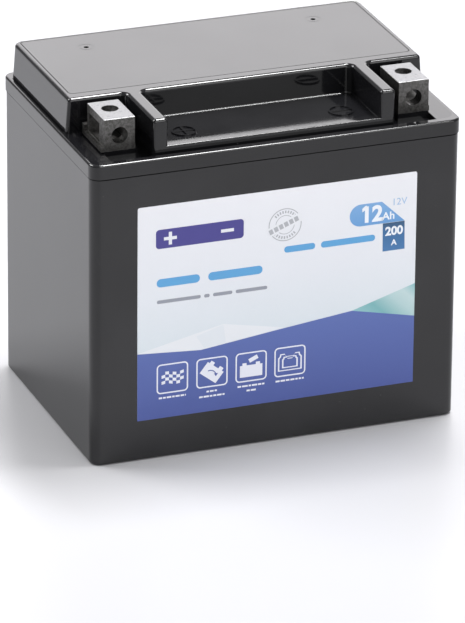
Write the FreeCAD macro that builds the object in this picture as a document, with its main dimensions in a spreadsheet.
import FreeCAD, Part
import os
import Sketcher
from FreeCAD import Vector

# Twelve-volt absorbed-glass-mat motorcycle battery, in millimetres.
# X runs along the case, Y from the terminal side (front) to the back, Z up.
# The origin is the centre of the case's underside.

SIZES = {
    # case
    "case_length": 150.0,
    "case_depth": 105.0,
    "total_height": 137.0,
    "seam_height": 117.4,
    "rim_height": 123.2,
    "case_corner_radius": 4.5,
    "rim_edge_radius": 0.9,
    "jar_inset": 0.3,
    "seam_gap": 0.5,
    "seam_depth": 0.9,
    "seam_corner": 2.2,
    "jar_wall": 2.6,
    "jar_floor": 3.0,
    "jar_foot_radius": 1.0,
    "cell_count": 6,
    "partition_thickness": 1.6,
    # lid
    "lid_thickness": 3.0,
    "block_inset": 3.2,
    "block_side_draft": 1.1,
    "side_groove_depth": 0.8,
    "block_front": 16.9,
    "block_back_radius": 4.0,
    "top_edge_radius": 1.4,
    "block_side_wall": 2.8,
    "chamber_front": 10.3,
    "rim_width_side": 1.6,
    "rim_width_front": 3.2,
    "pocket_corner_radius": 5.0,
    "shelf_drop": 0.5,
    "inner_corner_radius": 2.6,
    "rib_inner": 43.0,
    "rib_width": 5.9,
    "rib_front": 47.9,
    "rib_nose_radius": 1.1,
    "block_front_radius": 1.2,
    "recess_height": 125.4,
    "recess_corner_radius": 0.5,
    "lip_width": 1.2,
    "lip_height": 0.6,
    "lip_radius": 0.5,
    "recess_core_height": 122.6,
    "gutter_depth": 0.8,
    "pedestal_height": 3.0,
    # polarity marks on the recess floor
    "mark_place": 31.9,
    "mark_setback": 34.7,
    "mark_radius": 4.9,
    "mark_stroke": 0.6,
    "mark_relief": 0.5,
    # cover plate
    "plate_front": 11.9,
    "plate_thickness": 2.4,
    "plate_margin": 2.0,
    "plate_gap": 0.35,
    "plate_corner_radius": 2.0,
    "retainer_drop": 3.5,
    "retainer_width": 3.0,
    "vent_place": 47.0,
    "vent_setback": 33.7,
    "vent_radius": 1.0,
    "vent_ring_radius": 3.2,
    "vent_ring_width": 0.7,
    "vent_ring_depth": 0.04,
    "arrestor_radius": 6.0,
    "arrestor_thickness": 1.2,
    # filler necks and their rubber valve caps
    "neck_setback": 15.5,
    "neck_radius": 5.7,
    "neck_bore_radius": 4.0,
    "neck_height": 8.0,
    "cap_radius": 7.5,
    "cap_clearance": 0.05,
    "cap_roof": 2.0,
    "cap_skirt_gap": 1.0,
    # terminals
    "terminal_place": 59.6,
    "terminal_width": 12.6,
    "terminal_front": 40.1,
    "terminal_back": 20.9,
    "terminal_height": 12.9,
    "terminal_edge_radius": 0.35,
    "bolt_hole_radius": 3.3,
    "bolt_hole_setback": 29.1,
    "front_hole_height": 6.1,
    "nut_slot_front": 34.9,
    "nut_slot_back": 23.5,
    "nut_slot_floor": 2.4,
    "nut_slot_roof": 9.8,
    "nut_slot_inner_wall": 2.2,
    "foot_height": 2.0,
    "positive_foot_side": 1.1,
    "negative_foot_side": 0.2,
    "foot_back": 2.6,
    "foot_rear_height": 4.2,
    "post_radius": 4.0,
    "post_setback": 29.9,
    "seal_radius": 6.5,
    "seal_thickness": 2.5,
    # plate groups
    "negative_thickness": 1.4,
    "positive_thickness": 1.9,
    "mat_thickness": 0.95,
    "positive_count": 4,
    "negative_count": 5,
    "plate_depth": 94.0,
    "mat_depth": 96.0,
    "plate_top": 91.0,
    "mat_top": 93.5,
    "lug_width": 9.0,
    "lug_top": 99.0,
    "lug_setback": 29.0,
    "strap_depth": 12.0,
    "strap_height": 4.5,
    "tab_thickness": 3.0,
    "tab_height": 11.0,
    "weld_radius": 4.5,
    "weld_height": 109.0,
    # front label
    "label_length": 113.4,
    "label_foot": 16.4,
    "label_height": 87.7,
    "label_thickness": 0.12,
    "label_corner_radius": 0.8,
}

CELLS = range(1, 7)
TINY = 1e-6

HALF_LENGTH = "Sizes.case_length / 2"
HALF_DEPTH = "Sizes.case_depth / 2"
JAR_X = f"({HALF_LENGTH} - Sizes.jar_inset)"
JAR_Y = f"({HALF_DEPTH} - Sizes.jar_inset)"
INNER_X = f"({JAR_X} - Sizes.jar_wall)"
INNER_Y = f"({JAR_Y} - Sizes.jar_wall)"
CELL_PITCH = f"((2 * {INNER_X} + Sizes.partition_thickness) / Sizes.cell_count)"
CELL_WIDTH = f"({CELL_PITCH} - Sizes.partition_thickness)"
LID_TOP = "(Sizes.seam_height + Sizes.lid_thickness)"
BLOCK_X = f"({HALF_LENGTH} - Sizes.block_inset)"
BLOCK_BACK = f"({HALF_DEPTH} - Sizes.block_inset)"
POCKET_X = f"({HALF_LENGTH} - Sizes.rim_width_side)"
POCKET_FRONT = f"({HALF_DEPTH} - Sizes.rim_width_front)"
RIB_OUTER = "(Sizes.rib_inner + Sizes.rib_width)"
PLATE_X = f"({BLOCK_X} - Sizes.plate_margin)"
PLATE_BACK = f"({BLOCK_BACK} - Sizes.plate_margin)"
PLATE_FOOT = "(Sizes.total_height - Sizes.plate_thickness)"
CHAMBER_X = f"({BLOCK_X} - Sizes.block_side_wall)"
CHAMBER_BACK = f"({BLOCK_BACK} - Sizes.block_side_wall)"
NECK_TOP = f"({LID_TOP} + Sizes.neck_height)"
PEDESTAL_TOP = f"({LID_TOP} + Sizes.pedestal_height)"
TERMINAL_TOP = f"({PEDESTAL_TOP} + Sizes.terminal_height)"
PLATE_FLOOR = "(Sizes.jar_floor + Sizes.mat_thickness)"
PLATE_STEP = "(Sizes.negative_thickness + Sizes.positive_thickness + 2 * Sizes.mat_thickness)"
STACK_WIDTH = (
    "(Sizes.negative_count * Sizes.negative_thickness"
    " + Sizes.positive_count * (Sizes.positive_thickness + 2 * Sizes.mat_thickness))"
)
STRAP_TOP = "(Sizes.lug_top + Sizes.strap_height)"

doc = FreeCAD.newDocument("MotorcycleBattery")


# ---------------------------------------------------------------- sheet and helpers

def write_sheet():
    sheet = doc.addObject("Spreadsheet::Sheet", "Sizes")
    for row, (alias, value) in enumerate(SIZES.items(), start=1):
        sheet.set(f"A{row}", alias.replace("_", " "))
        sheet.set(f"B{row}", str(value))
        sheet.setAlias(f"B{row}", alias)
    doc.recompute()
    return sheet


def number(expression):
    """Value of an expression over the sheet's cells."""
    return float(sheet.evalExpression(expression.replace("Sizes.", "")))


def new_body(name):
    body = doc.addObject("PartDesign::Body", name)
    body.Label = name
    return body


def origin_part(body, role):
    return next(item for item in body.Origin.OriginFeatures if item.Role == role)


def new_sketch(body, name, plane, level):
    sketch = body.newObject("Sketcher::SketchObject", f"{body.Name}_{name}")
    sketch.AttachmentSupport = [(origin_part(body, plane), "")]
    sketch.MapMode = "FlatFace"
    sketch.setExpression("AttachmentOffset.Base.z", level)
    return sketch


def pin(sketch, geometry, vertex, axis, expression):
    """Fix one coordinate of a sketch point at an expression of the sheet."""
    value = number(expression)
    if abs(value) < TINY:
        axis_line = -2 if axis == "X" else -1
        sketch.addConstraint(Sketcher.Constraint("PointOnObject", geometry, vertex, axis_line))
        return
    ends = (-1, 1, geometry, vertex) if value > 0 else (geometry, vertex, -1, 1)
    index = sketch.addConstraint(Sketcher.Constraint("Distance" + axis, *ends, abs(value)))
    sketch.setExpression(f"Constraints[{index}]", expression if value > 0 else f"-({expression})")


def outline(body, name, plane, points, level="0"):
    """Closed straight-sided sketch; each corner is a pair of expressions."""
    sketch = new_sketch(body, name, plane, level)
    corners = [Vector(number(x), number(y), 0) for x, y in points]
    count = len(corners)
    for index in range(count):
        sketch.addGeometry(Part.LineSegment(corners[index], corners[(index + 1) % count]))
    for index in range(count):
        sketch.addConstraint(Sketcher.Constraint("Coincident", index, 2, (index + 1) % count, 1))
    for index, (x, y) in enumerate(points):
        pin(sketch, index, 1, "X", x)
        pin(sketch, index, 1, "Y", y)
    return sketch


def rectangle(body, name, plane, low_x, high_x, low_y, high_y, level="0"):
    points = [(low_x, low_y), (high_x, low_y), (high_x, high_y), (low_x, high_y)]
    return outline(body, name, plane, points, level)


def circles(body, name, plane, x, y, radii, level="0"):
    """Concentric circles about one point."""
    sketch = new_sketch(body, name, plane, level)
    centre = Vector(number(x), number(y), 0)
    for index, radius in enumerate(radii):
        sketch.addGeometry(Part.Circle(centre, Vector(0, 0, 1), number(radius)))
        if index == 0:
            pin(sketch, index, 3, "X", x)
            pin(sketch, index, 3, "Y", y)
        else:
            sketch.addConstraint(Sketcher.Constraint("Coincident", index, 3, 0, 3))
        row = sketch.addConstraint(Sketcher.Constraint("Radius", index, number(radius)))
        sketch.setExpression(f"Constraints[{row}]", radius)
    return sketch


def extrude(body, kind, sketch, length, upward):
    """Pad or pocket a sketch and check that it really adds or removes material."""
    before = body.Shape.Volume if body.Tip else 0.0
    feature = body.newObject("PartDesign::" + kind, f"{sketch.Name}_{kind.lower()}")
    feature.Profile = sketch
    feature.setExpression("Length", length)
    feature.Reversed = upward if kind == "Pocket" else not upward
    sketch.Visibility = False
    doc.recompute()
    change = body.Shape.Volume - before
    if (change > TINY) != (kind == "Pad") or abs(change) < TINY:
        raise RuntimeError(f"{feature.Name} changed the volume by {change:.3f}")
    return feature


def pad(body, sketch, length, upward=True):
    return extrude(body, "Pad", sketch, length, upward)


def pocket(body, sketch, length, upward=False):
    return extrude(body, "Pocket", sketch, length, upward)


def row_of(body, feature, step, count):
    """Repeat a feature along X."""
    pattern = body.newObject("PartDesign::LinearPattern", feature.Name + "_row")
    pattern.Originals = [feature]
    pattern.Direction = (origin_part(body, "X_Axis"), [""])
    pattern.setExpression("Length", f"{step} * ({count} - 1)")
    pattern.setExpression("Occurrences", count)
    body.Tip = pattern
    doc.recompute()
    return pattern


def fillet(body, name, radius, wanted):
    """Round the edges of the body's present shape that a test picks out."""
    edges = [f"Edge{index}" for index, edge in enumerate(body.Shape.Edges, 1) if wanted(edge)]
    if not edges:
        raise RuntimeError(f"{body.Name}_{name} finds no edges")
    feature = body.newObject("PartDesign::Fillet", f"{body.Name}_{name}")
    feature.Base = (body.Tip if feature.BaseFeature is None else feature.BaseFeature, edges)
    feature.setExpression("Radius", radius)
    doc.recompute()
    if not feature.isValid() or not feature.Shape.isValid():
        raise RuntimeError(f"{feature.Name} leaves an invalid shape")
    return feature


def upright(edge):
    box = edge.BoundBox
    return box.XLength < TINY and box.YLength < TINY


def level_at(edge, height):
    box = edge.BoundBox
    return box.ZLength < TINY and abs(box.ZMin - height) < 1e-4


def near(value, target):
    return abs(value - target) < 0.01


# ---------------------------------------------------------------- case

def make_container():
    """Jar with five cell partitions and a weld window in each."""
    body = new_body("container")
    outer = rectangle(body, "outer", "XY_Plane", f"-{JAR_X}", JAR_X, f"-{JAR_Y}", JAR_Y)
    pad(body, outer, "Sizes.seam_height - Sizes.seam_gap")
    fillet(body, "corners", "Sizes.case_corner_radius", upright)
    fillet(body, "foot", "Sizes.jar_foot_radius", lambda edge: level_at(edge, 0))
    # The set-back shoulder leaves the thin dark line under the lid.
    x, y = f"({JAR_X} - Sizes.seam_depth)", f"({JAR_Y} - Sizes.seam_depth)"
    cut_x, cut_y = f"({x} - Sizes.seam_corner)", f"({y} - Sizes.seam_corner)"
    shoulder = outline(body, "shoulder", "XY_Plane", [
        (f"-{x}", f"-{cut_y}"), (f"-{cut_x}", f"-{y}"), (cut_x, f"-{y}"), (x, f"-{cut_y}"),
        (x, cut_y), (cut_x, y), (f"-{cut_x}", y), (f"-{x}", cut_y)],
        "Sizes.seam_height - Sizes.seam_gap")
    pad(body, shoulder, "Sizes.seam_gap")
    first_cell = rectangle(
        body, "first_cell", "XY_Plane", f"-{INNER_X}", f"-{INNER_X} + {CELL_WIDTH}",
        f"-{INNER_Y}", INNER_Y, "Sizes.seam_height")
    cell = pocket(body, first_cell, "Sizes.seam_height - Sizes.jar_floor")
    row_of(body, cell, CELL_PITCH, "Sizes.cell_count")
    # Windows alternate back and front, so that the cells join in series.
    for name, side, start, count in (("back", 1, 1, "3"), ("front", -1, 2, "2")):
        face = f"-{INNER_X} + {start} * {CELL_PITCH} - Sizes.partition_thickness"
        window = circles(body, f"{name}_window", "YZ_Plane", f"{side} * Sizes.lug_setback",
                         "Sizes.weld_height", ["Sizes.weld_radius"], face)
        cut = pocket(body, window, "Sizes.partition_thickness", upward=True)
        row_of(body, cut, f"(2 * {CELL_PITCH})", count)
    return body


def make_lid():
    """Moulded lid: rim, raised rear block, two ribs, recess, pockets, pedestals and necks."""
    body = new_body("lid")
    flange = rectangle(body, "flange", "XY_Plane", f"-{HALF_LENGTH}", HALF_LENGTH,
                       f"-{HALF_DEPTH}", HALF_DEPTH, "Sizes.seam_height")
    pad(body, flange, "Sizes.rim_height - Sizes.seam_height")
    fillet(body, "flange_corners", "Sizes.case_corner_radius", upright)
    fillet(body, "rim_edge", "Sizes.rim_edge_radius",
           lambda edge: level_at(edge, number("Sizes.rim_height")))
    add_pockets(body)
    add_block(body)
    hollow_lid(body)
    add_pedestals(body)
    add_marks(body)
    round_top(body)
    return body


def add_pockets(body):
    """Sunken floors round the terminals, a shelf beside each, and a gutter between them."""
    for name, side in (("left", -1), ("right", 1)):
        low, high = sorted((f"{side} * {POCKET_X}", f"{side} * {RIB_OUTER}"), key=number)
        floor = rectangle(body, f"{name}_pocket", "XY_Plane", low, high,
                          f"-{POCKET_FRONT}", "-Sizes.block_front", "Sizes.rim_height")
        pocket(body, floor, f"Sizes.rim_height - {LID_TOP}")
    fillet(body, "pocket_corners", "Sizes.pocket_corner_radius",
           lambda edge: upright(edge) and near(abs(edge.BoundBox.XMin), number(POCKET_X))
           and near(edge.BoundBox.YMin, -number(POCKET_FRONT)))
    for name, side in (("left", -1), ("right", 1)):
        inner = f"{side} * (Sizes.terminal_place + Sizes.terminal_width / 2)"
        shelf = outline(body, f"{name}_shelf", "XZ_Plane", [
            (f"{side} * {POCKET_X}", LID_TOP), (inner, LID_TOP),
            (inner, "Sizes.rim_height - Sizes.shelf_drop"),
            (f"{side} * {POCKET_X}", "Sizes.rim_height")], "Sizes.block_front")
        pad(body, shelf, f"{POCKET_FRONT} - Sizes.block_front")
    gutter = rectangle(body, "gutter", "XY_Plane", f"-{RIB_OUTER}", RIB_OUTER,
                       f"-{POCKET_FRONT}", "-Sizes.rib_front", "Sizes.rim_height")
    pocket(body, gutter, "Sizes.gutter_depth")


def round_top(body):
    """Rounded top edges of the block and its ribs, and the lip in front of the recess."""
    top = number("Sizes.total_height")
    fillet(body, "top_edges", "Sizes.top_edge_radius",
           lambda edge: level_at(edge, top) and on_block_outline(edge))
    fillet(body, "lip_edge", "Sizes.lip_radius",
           lambda edge: level_at(edge, number("Sizes.recess_height + Sizes.lip_height"))
           and near(edge.BoundBox.YMax, -number("Sizes.rib_front")))
    fillet(body, "recess_back_corner", "Sizes.recess_corner_radius",
           lambda edge: level_at(edge, number("Sizes.recess_height"))
           and near(edge.BoundBox.YMin, -number("Sizes.block_front")))


def on_block_outline(edge):
    """True for the block's outer edges and for everything in front of the cover plate."""
    box = edge.BoundBox
    side = max(abs(box.XMin), abs(box.XMax))
    return (near(box.YMax, number(BLOCK_BACK)) or (near(side, number(BLOCK_X)) and box.YLength > 9)
            or box.YMin < -number("Sizes.plate_front") - 1)


def add_block(body):
    """Rear block with two ribs reaching forward and the recess floor between them."""
    top = number("Sizes.total_height")
    points = [
        (f"-{BLOCK_X}", BLOCK_BACK), (f"-{BLOCK_X}", "-Sizes.block_front"),
        (f"-{RIB_OUTER}", "-Sizes.block_front"), (f"-{RIB_OUTER}", "-Sizes.rib_front"),
        ("-Sizes.rib_inner", "-Sizes.rib_front"), ("-Sizes.rib_inner", "-Sizes.block_front"),
        ("Sizes.rib_inner", "-Sizes.block_front"), ("Sizes.rib_inner", "-Sizes.rib_front"),
        (RIB_OUTER, "-Sizes.rib_front"), (RIB_OUTER, "-Sizes.block_front"),
        (BLOCK_X, "-Sizes.block_front"), (BLOCK_X, BLOCK_BACK),
    ]
    raised = outline(body, "block", "XY_Plane", points, LID_TOP)
    pad(body, raised, f"Sizes.total_height - {LID_TOP}")
    lean_sides(body)
    middle = "Sizes.rib_inner + Sizes.rib_width / 2"
    floor = rectangle(body, "recess_floor", "XY_Plane", f"-({middle})", middle,
                      "-Sizes.rib_front", "-Sizes.block_front + Sizes.rib_width / 2", LID_TOP)
    pad(body, floor, f"Sizes.recess_height - {LID_TOP}")
    lip = rectangle(body, "recess_lip", "XY_Plane", f"-({middle})", middle, "-Sizes.rib_front",
                    "-Sizes.rib_front + Sizes.lip_width", "Sizes.recess_height")
    pad(body, lip, "Sizes.lip_height")
    fillet(body, "block_back_corners", "Sizes.block_back_radius",
           lambda edge: on_leaning_corner(edge, number(BLOCK_BACK)))
    fillet(body, "inner_corners", "Sizes.inner_corner_radius",
           lambda edge: upright(edge) and near(edge.BoundBox.YMin, -number("Sizes.block_front"))
           and abs(edge.BoundBox.XMin) < number(RIB_OUTER) + 1
           and near(edge.BoundBox.ZMax, top))
    fillet(body, "rib_noses", "Sizes.rib_nose_radius",
           lambda edge: upright(edge) and near(edge.BoundBox.YMin, -number("Sizes.rib_front")))
    fillet(body, "block_front_corners", "Sizes.block_front_radius",
           lambda edge: on_leaning_corner(edge, -number("Sizes.block_front")))


def lean_sides(body):
    """Draft on the block's sides, each with a groove between its foot and the rim."""
    foot = "(Sizes.rim_height - Sizes.side_groove_depth)"
    for name, side in (("left", -1), ("right", 1)):
        low, high = sorted((f"{side} * {POCKET_X}", f"{side} * {BLOCK_X}"), key=number)
        groove = rectangle(body, f"{name}_groove", "XY_Plane", low, high,
                           "-Sizes.block_front + 2 * Sizes.block_front_radius",
                           f"{BLOCK_BACK} - Sizes.block_back_radius", "Sizes.rim_height")
        pocket(body, groove, "Sizes.side_groove_depth")
        draft = outline(body, f"{name}_draft", "XZ_Plane", [
            (f"{side} * {BLOCK_X}", foot),
            (f"{side} * ({BLOCK_X} + Sizes.block_side_draft)", foot),
            (f"{side} * {BLOCK_X}", "Sizes.total_height")], "Sizes.block_front")
        pad(body, draft, f"{BLOCK_BACK} + Sizes.block_front", upward=False)


def on_leaning_corner(edge, depth):
    """True for the edges at the front or back end of the block's leaning sides."""
    box = edge.BoundBox
    return (box.YLength < TINY and near(box.YMin, depth) and box.XLength > TINY
            and near(box.ZMax, number("Sizes.total_height"))
            and near(min(abs(box.XMin), abs(box.XMax)), number(BLOCK_X))
            and box.ZLength > number("Sizes.block_back_radius"))


def hollow_lid(body):
    """Valve chamber under the cover plate, filler necks, and the core under the recess."""
    rebate = rectangle(body, "plate_rebate", "XY_Plane", f"-{PLATE_X}", PLATE_X,
                       "-Sizes.plate_front", PLATE_BACK, "Sizes.total_height")
    pocket(body, rebate, "Sizes.plate_thickness")
    fillet(body, "rebate_corners", "Sizes.plate_corner_radius",
           lambda edge: upright(edge) and near(abs(edge.BoundBox.XMin), number(PLATE_X)))
    chamber = rectangle(body, "chamber", "XY_Plane", f"-{CHAMBER_X}", CHAMBER_X,
                        "-Sizes.chamber_front", CHAMBER_BACK, PLATE_FOOT)
    pocket(body, chamber, f"{PLATE_FOOT} - {LID_TOP}")
    core = rectangle(body, "recess_core", "XY_Plane", "-Sizes.rib_inner", "Sizes.rib_inner",
                     "-Sizes.rib_front + Sizes.jar_wall", "-Sizes.block_front",
                     "Sizes.seam_height")
    pocket(body, core, "Sizes.recess_core_height - Sizes.seam_height", upward=True)
    first_cell = f"-{INNER_X} + {CELL_WIDTH} / 2"
    neck = circles(body, "neck", "XY_Plane", first_cell, "Sizes.neck_setback",
                   ["Sizes.neck_radius"], LID_TOP)
    row_of(body, pad(body, neck, "Sizes.neck_height"), CELL_PITCH, "Sizes.cell_count")
    bore = circles(body, "neck_bore", "XY_Plane", first_cell, "Sizes.neck_setback",
                   ["Sizes.neck_bore_radius"], NECK_TOP)
    cut = pocket(body, bore, "Sizes.neck_height + Sizes.lid_thickness")
    row_of(body, cut, CELL_PITCH, "Sizes.cell_count")


def add_pedestals(body):
    """Block under each terminal, bored for the post and counterbored for its seal."""
    for name, side in (("left", -1), ("right", 1)):
        centre = f"{side} * Sizes.terminal_place"
        seat = rectangle(body, f"{name}_pedestal", "XY_Plane",
                         f"{centre} - Sizes.terminal_width / 2", f"{centre} + Sizes.terminal_width / 2",
                         "-Sizes.terminal_front", "-Sizes.block_front", LID_TOP)
        pad(body, seat, "Sizes.pedestal_height")
        bore = circles(body, f"{name}_post_bore", "XY_Plane", centre, "-Sizes.post_setback",
                       ["Sizes.post_radius"], PEDESTAL_TOP)
        pocket(body, bore, f"{PEDESTAL_TOP} - Sizes.seam_height")
        seal = circles(body, f"{name}_seal_seat", "XY_Plane", centre, "-Sizes.post_setback",
                       ["Sizes.seal_radius"], "Sizes.seam_height")
        pocket(body, seal, "Sizes.seal_thickness", upward=True)


def add_marks(body):
    """Raised polarity signs in rings: plus at the left, minus at the right."""
    inner = "Sizes.mark_radius - Sizes.mark_stroke"
    half = "Sizes.mark_stroke / 2"
    for name, side, strokes in (("plus", -1, ("across", "along")), ("minus", 1, ("across",))):
        centre = f"{side} * Sizes.mark_place"
        ring = circles(body, f"{name}_ring", "XY_Plane", centre, "-Sizes.mark_setback",
                       ["Sizes.mark_radius", inner], "Sizes.recess_height")
        pad(body, ring, "Sizes.mark_relief")
        for stroke in strokes:
            reach_x, reach_y = (inner, half) if stroke == "across" else (half, inner)
            bar = rectangle(body, f"{name}_{stroke}", "XY_Plane",
                            f"{centre} - ({reach_x})", f"{centre} + ({reach_x})",
                            f"-Sizes.mark_setback - ({reach_y})",
                            f"-Sizes.mark_setback + ({reach_y})", "Sizes.recess_height")
            pad(body, bar, "Sizes.mark_relief")


def make_cover_plate():
    """Flat plate that closes the valve chamber, with two pinhole vents."""
    body = new_body("cover_plate")
    side = f"({PLATE_X} - Sizes.plate_gap)"
    sheet_outline = rectangle(body, "sheet", "XY_Plane", f"-{side}", side,
                              "-Sizes.plate_front + Sizes.plate_gap",
                              f"{PLATE_BACK} - Sizes.plate_gap", PLATE_FOOT)
    pad(body, sheet_outline, "Sizes.plate_thickness")
    fillet(body, "corners", "Sizes.plate_corner_radius - Sizes.plate_gap", upright)
    for name, place in (("front", "- Sizes.neck_radius + Sizes.retainer_width"),
                        ("back", "+ Sizes.neck_radius")):
        high = f"Sizes.neck_setback {place}"
        rib = rectangle(body, f"{name}_retainer", "XY_Plane", f"-{CHAMBER_X} + 1", f"{CHAMBER_X} - 1",
                        f"{high} - Sizes.retainer_width", high, PLATE_FOOT)
        pad(body, rib, "Sizes.retainer_drop", upward=False)
    for name, sign in (("left", -1), ("right", 1)):
        centre = f"{sign} * Sizes.vent_place"
        vent = circles(body, f"{name}_vent", "XY_Plane", centre, "Sizes.vent_setback",
                       ["Sizes.vent_radius"], "Sizes.total_height")
        pocket(body, vent, "Sizes.plate_thickness")
        ring = circles(body, f"{name}_vent_ring", "XY_Plane", centre, "Sizes.vent_setback",
                       ["Sizes.vent_ring_radius", "Sizes.vent_ring_radius - Sizes.vent_ring_width"],
                       "Sizes.total_height")
        pocket(body, ring, "Sizes.vent_ring_depth")
        seat = circles(body, f"{name}_arrestor_seat", "XY_Plane", centre, "Sizes.vent_setback",
                       ["Sizes.arrestor_radius"], PLATE_FOOT)
        pocket(body, seat, "Sizes.arrestor_thickness", upward=True)
    return body


def make_flame_arrestor(name, sign):
    """Porous disc pressed into the underside of the cover plate, below a vent."""
    disc = doc.addObject("Part::Cylinder", name)
    disc.Label = name
    disc.setExpression("Radius", "Sizes.arrestor_radius")
    disc.setExpression("Height", "Sizes.arrestor_thickness")
    disc.setExpression("Placement.Base.x", f"{sign} * Sizes.vent_place")
    disc.setExpression("Placement.Base.y", "Sizes.vent_setback")
    disc.setExpression("Placement.Base.z", PLATE_FOOT)
    return disc


def make_valve_cap(cell):
    """Rubber cup that sits on a filler neck and lifts to let gas out."""
    body = new_body(f"valve_cap_{cell}")
    inner = "(Sizes.neck_radius + Sizes.cap_clearance)"
    foot = f"{LID_TOP} + Sizes.cap_skirt_gap"
    roof = f"{NECK_TOP} + Sizes.cap_roof"
    profile = outline(body, "profile", "XZ_Plane", [
        ("0", NECK_TOP), (inner, NECK_TOP), (inner, foot),
        ("Sizes.cap_radius", foot), ("Sizes.cap_radius", roof), ("0", roof)])
    turned = body.newObject("PartDesign::Revolution", f"{body.Name}_turned")
    turned.Profile = profile
    turned.ReferenceAxis = (profile, ["V_Axis"])
    turned.Angle = 360
    profile.Visibility = False
    body.setExpression("Placement.Base.x", cell_centre(cell))
    body.setExpression("Placement.Base.y", "Sizes.neck_setback")
    return body


# ---------------------------------------------------------------- terminals

def make_terminal(name, side):
    """Cast lead block with a bolt hole in its top and front, a nut slot and a post."""
    body = new_body(name)
    half = "Sizes.terminal_width / 2"
    front, back = "-Sizes.terminal_front", "-Sizes.terminal_back"
    block = rectangle(body, "block", "XY_Plane", f"-{half}", half, front, back, PEDESTAL_TOP)
    pad(body, block, "Sizes.terminal_height")
    fillet(body, "edges", "Sizes.terminal_edge_radius",
           lambda edge: edge.BoundBox.ZMax > number(PEDESTAL_TOP) + 1)
    reach = f"{half} + Sizes.{name.replace('terminal', 'foot_side')}"
    low, high = sorted((f"{side} * ({reach})", f"-{side} * ({half})"), key=number)
    foot = rectangle(body, "foot", "XY_Plane", low, high, front,
                     f"{back} + Sizes.foot_back", PEDESTAL_TOP)
    pad(body, foot, "Sizes.foot_height")
    heel = rectangle(body, "heel", "XY_Plane", low, high, back,
                     f"{back} + Sizes.foot_back", PEDESTAL_TOP)
    pad(body, heel, "Sizes.foot_rear_height")
    slot_low, slot_high = sorted(
        (f"{side} * ({half})", f"-{side} * ({half} - Sizes.nut_slot_inner_wall)"), key=number)
    slot = rectangle(body, "nut_slot", "XY_Plane", slot_low, slot_high, "-Sizes.nut_slot_front",
                     "-Sizes.nut_slot_back", f"{PEDESTAL_TOP} + Sizes.nut_slot_floor")
    pocket(body, slot, "Sizes.nut_slot_roof - Sizes.nut_slot_floor", upward=True)
    top_hole = circles(body, "top_hole", "XY_Plane", "0", "-Sizes.bolt_hole_setback",
                       ["Sizes.bolt_hole_radius"], TERMINAL_TOP)
    pocket(body, top_hole, "Sizes.terminal_height - Sizes.nut_slot_roof")
    front_hole = circles(body, "front_hole", "XZ_Plane", "0",
                         f"{PEDESTAL_TOP} + Sizes.front_hole_height",
                         ["Sizes.bolt_hole_radius"], "Sizes.terminal_front")
    pocket(body, front_hole, "Sizes.terminal_front - Sizes.nut_slot_front")
    post = circles(body, "post", "XY_Plane", "0", "-Sizes.post_setback",
                   ["Sizes.post_radius"], STRAP_TOP)
    pad(body, post, f"{PEDESTAL_TOP} - {STRAP_TOP}")
    body.setExpression("Placement.Base.x", f"{side} * Sizes.terminal_place")
    return body


def make_post_seal(name, side):
    """Rubber ring round the post, held in the lid's counterbore."""
    body = new_body(name)
    ring = circles(body, "ring", "XY_Plane", "0", "-Sizes.post_setback",
                   ["Sizes.seal_radius", "Sizes.post_radius"], "Sizes.seam_height")
    pad(body, ring, "Sizes.seal_thickness")
    body.setExpression("Placement.Base.x", f"{side} * Sizes.terminal_place")
    return body


# ---------------------------------------------------------------- cells

def cell_centre(cell):
    return f"({cell} - (Sizes.cell_count + 1) / 2) * {CELL_PITCH}"


def positive_side(cell):
    """The positive lugs stand at the front in odd cells and at the back in even ones."""
    return -1 if cell % 2 else 1


def make_plate_group(name, cell, side, thickness, count, start):
    """Parallel grids of one polarity, each with a lug that reaches the strap."""
    body = new_body(name)
    half = "Sizes.plate_depth / 2"
    lug = f"{side} * Sizes.lug_setback"
    lug_low, lug_high = f"{lug} - Sizes.lug_width / 2", f"{lug} + Sizes.lug_width / 2"
    grid = outline(body, "grid", "YZ_Plane", [
        (f"-{half}", PLATE_FLOOR), (half, PLATE_FLOOR), (half, "Sizes.plate_top"),
        (lug_high, "Sizes.plate_top"), (lug_high, "Sizes.lug_top"), (lug_low, "Sizes.lug_top"),
        (lug_low, "Sizes.plate_top"), (f"-{half}", "Sizes.plate_top")],
        f"-{STACK_WIDTH} / 2 + {start}")
    row_of(body, pad(body, grid, thickness), PLATE_STEP, count)
    body.setExpression("Placement.Base.x", cell_centre(cell))
    return body


def make_glass_mats(cell):
    """Glass mats folded under and up both faces of each positive plate."""
    body = new_body(f"glass_mats_{cell}")
    start = f"(-{STACK_WIDTH} / 2 + Sizes.negative_thickness)"
    outer = f"{start} + Sizes.positive_thickness + 2 * Sizes.mat_thickness"
    inner_low = f"{start} + Sizes.mat_thickness"
    inner_high = f"{inner_low} + Sizes.positive_thickness"
    fold = outline(body, "fold", "XZ_Plane", [
        (start, "Sizes.jar_floor"), (outer, "Sizes.jar_floor"), (outer, "Sizes.mat_top"),
        (inner_high, "Sizes.mat_top"), (inner_high, PLATE_FLOOR), (inner_low, PLATE_FLOOR),
        (inner_low, "Sizes.mat_top"), (start, "Sizes.mat_top")], "Sizes.mat_depth / 2")
    wrap = pad(body, fold, "Sizes.mat_depth", upward=False)
    row_of(body, wrap, PLATE_STEP, "Sizes.positive_count")
    body.setExpression("Placement.Base.x", cell_centre(cell))
    return body


def strap_bar(body, side, low, high):
    centre = f"{side} * Sizes.lug_setback"
    bar = rectangle(body, "bar", "XY_Plane", low, high, f"{centre} - Sizes.strap_depth / 2",
                    f"{centre} + Sizes.strap_depth / 2", "Sizes.lug_top")
    pad(body, bar, "Sizes.strap_height")


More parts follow.
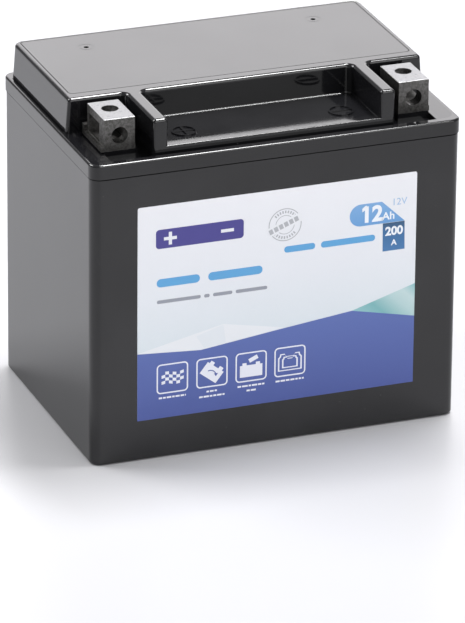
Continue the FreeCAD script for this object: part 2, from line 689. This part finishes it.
def make_end_strap(name, cell, side):
    """Strap that gathers the end cell's lugs under a terminal post."""
    body = new_body(name)
    strap_bar(body, side, f"-{STACK_WIDTH} / 2", f"{STACK_WIDTH} / 2")
    body.setExpression("Placement.Base.x", cell_centre(cell))
    return body


def make_cell_connector(cell):
    """Two straps and tabs welded through the partition between neighbouring cells."""
    body = new_body(f"cell_connector_{cell}")
    side = -positive_side(cell)
    centre = f"{side} * Sizes.lug_setback"
    face = "Sizes.partition_thickness / 2"
    reach = f"({CELL_PITCH} / 2 + {STACK_WIDTH} / 2)"
    nugget = circles(body, "nugget", "YZ_Plane", centre, "Sizes.weld_height",
                     ["Sizes.weld_radius"], f"-{face}")
    pad(body, nugget, "Sizes.partition_thickness")
    for name, sign in (("left", -1), ("right", 1)):
        near_face, far_face = f"{sign} * {face}", f"{sign} * ({face} + Sizes.tab_thickness)"
        low, high = sorted((near_face, far_face), key=number)
        tab = rectangle(body, f"{name}_tab", "XY_Plane", low, high,
                        f"{centre} - Sizes.strap_depth / 2", f"{centre} + Sizes.strap_depth / 2",
                        "Sizes.lug_top")
        pad(body, tab, "Sizes.strap_height + Sizes.tab_height")
        low, high = sorted((near_face, f"{sign} * {reach}"), key=number)
        bar = rectangle(body, f"{name}_bar", "XY_Plane", low, high,
                        f"{centre} - Sizes.strap_depth / 2", f"{centre} + Sizes.strap_depth / 2",
                        "Sizes.lug_top")
        pad(body, bar, "Sizes.strap_height")
    body.setExpression("Placement.Base.x", f"({cell} - Sizes.cell_count / 2) * {CELL_PITCH}")
    return body


# ---------------------------------------------------------------- label

def make_front_label():
    """Thin printed sheet on the front of the jar."""
    body = new_body("front_label")
    half = "Sizes.label_length / 2"
    face = rectangle(body, "face", "XZ_Plane", f"-{half}", half, "Sizes.label_foot",
                     "Sizes.label_foot + Sizes.label_height", JAR_Y)
    pad(body, face, "Sizes.label_thickness")
    fillet(body, "corners", "Sizes.label_corner_radius",
           lambda edge: edge.BoundBox.XLength < TINY and edge.BoundBox.ZLength < TINY)
    return body


# ---------------------------------------------------------------- assembly and export

def make_cell(cell):
    side = positive_side(cell)
    negative_start = "0"
    positive_start = "Sizes.negative_thickness + Sizes.mat_thickness"
    return [
        make_plate_group(f"negative_plates_{cell}", cell, -side, "Sizes.negative_thickness",
                         "Sizes.negative_count", negative_start),
        make_plate_group(f"positive_plates_{cell}", cell, side, "Sizes.positive_thickness",
                         "Sizes.positive_count", positive_start),
        make_glass_mats(cell),
        make_valve_cap(cell),
    ]


def check_document(parts):
    for item in doc.Objects:
        if "Invalid" in item.State or "Error" in item.State:
            raise RuntimeError(f"{item.Name} failed: {item.State}")
    for part in parts:
        if part.Shape.isNull() or not part.Shape.isValid():
            raise RuntimeError(f"{part.Label} has no valid shape")


sheet = write_sheet()
subparts = [make_container(), make_lid(), make_cover_plate(), make_front_label()]
for side_name, side_sign in (("left", -1), ("right", 1)):
    subparts.append(make_flame_arrestor(f"flame_arrestor_{side_name}", side_sign))
for pole, pole_side, end_cell in (("positive", -1, 1), ("negative", 1, 6)):
    subparts.append(make_terminal(f"{pole}_terminal", pole_side))
    subparts.append(make_post_seal(f"{pole}_post_seal", pole_side))
    subparts.append(make_end_strap(f"{pole}_end_strap", end_cell, -1))
for cell_number in CELLS:
    subparts.extend(make_cell(cell_number))
for cell_number in CELLS[:-1]:
    subparts.append(make_cell_connector(cell_number))

doc.recompute()
check_document(subparts)
os.makedirs("parts", exist_ok=True)
for subpart in subparts:
    subpart.Shape.exportStep(f"parts/{subpart.Label}.step")
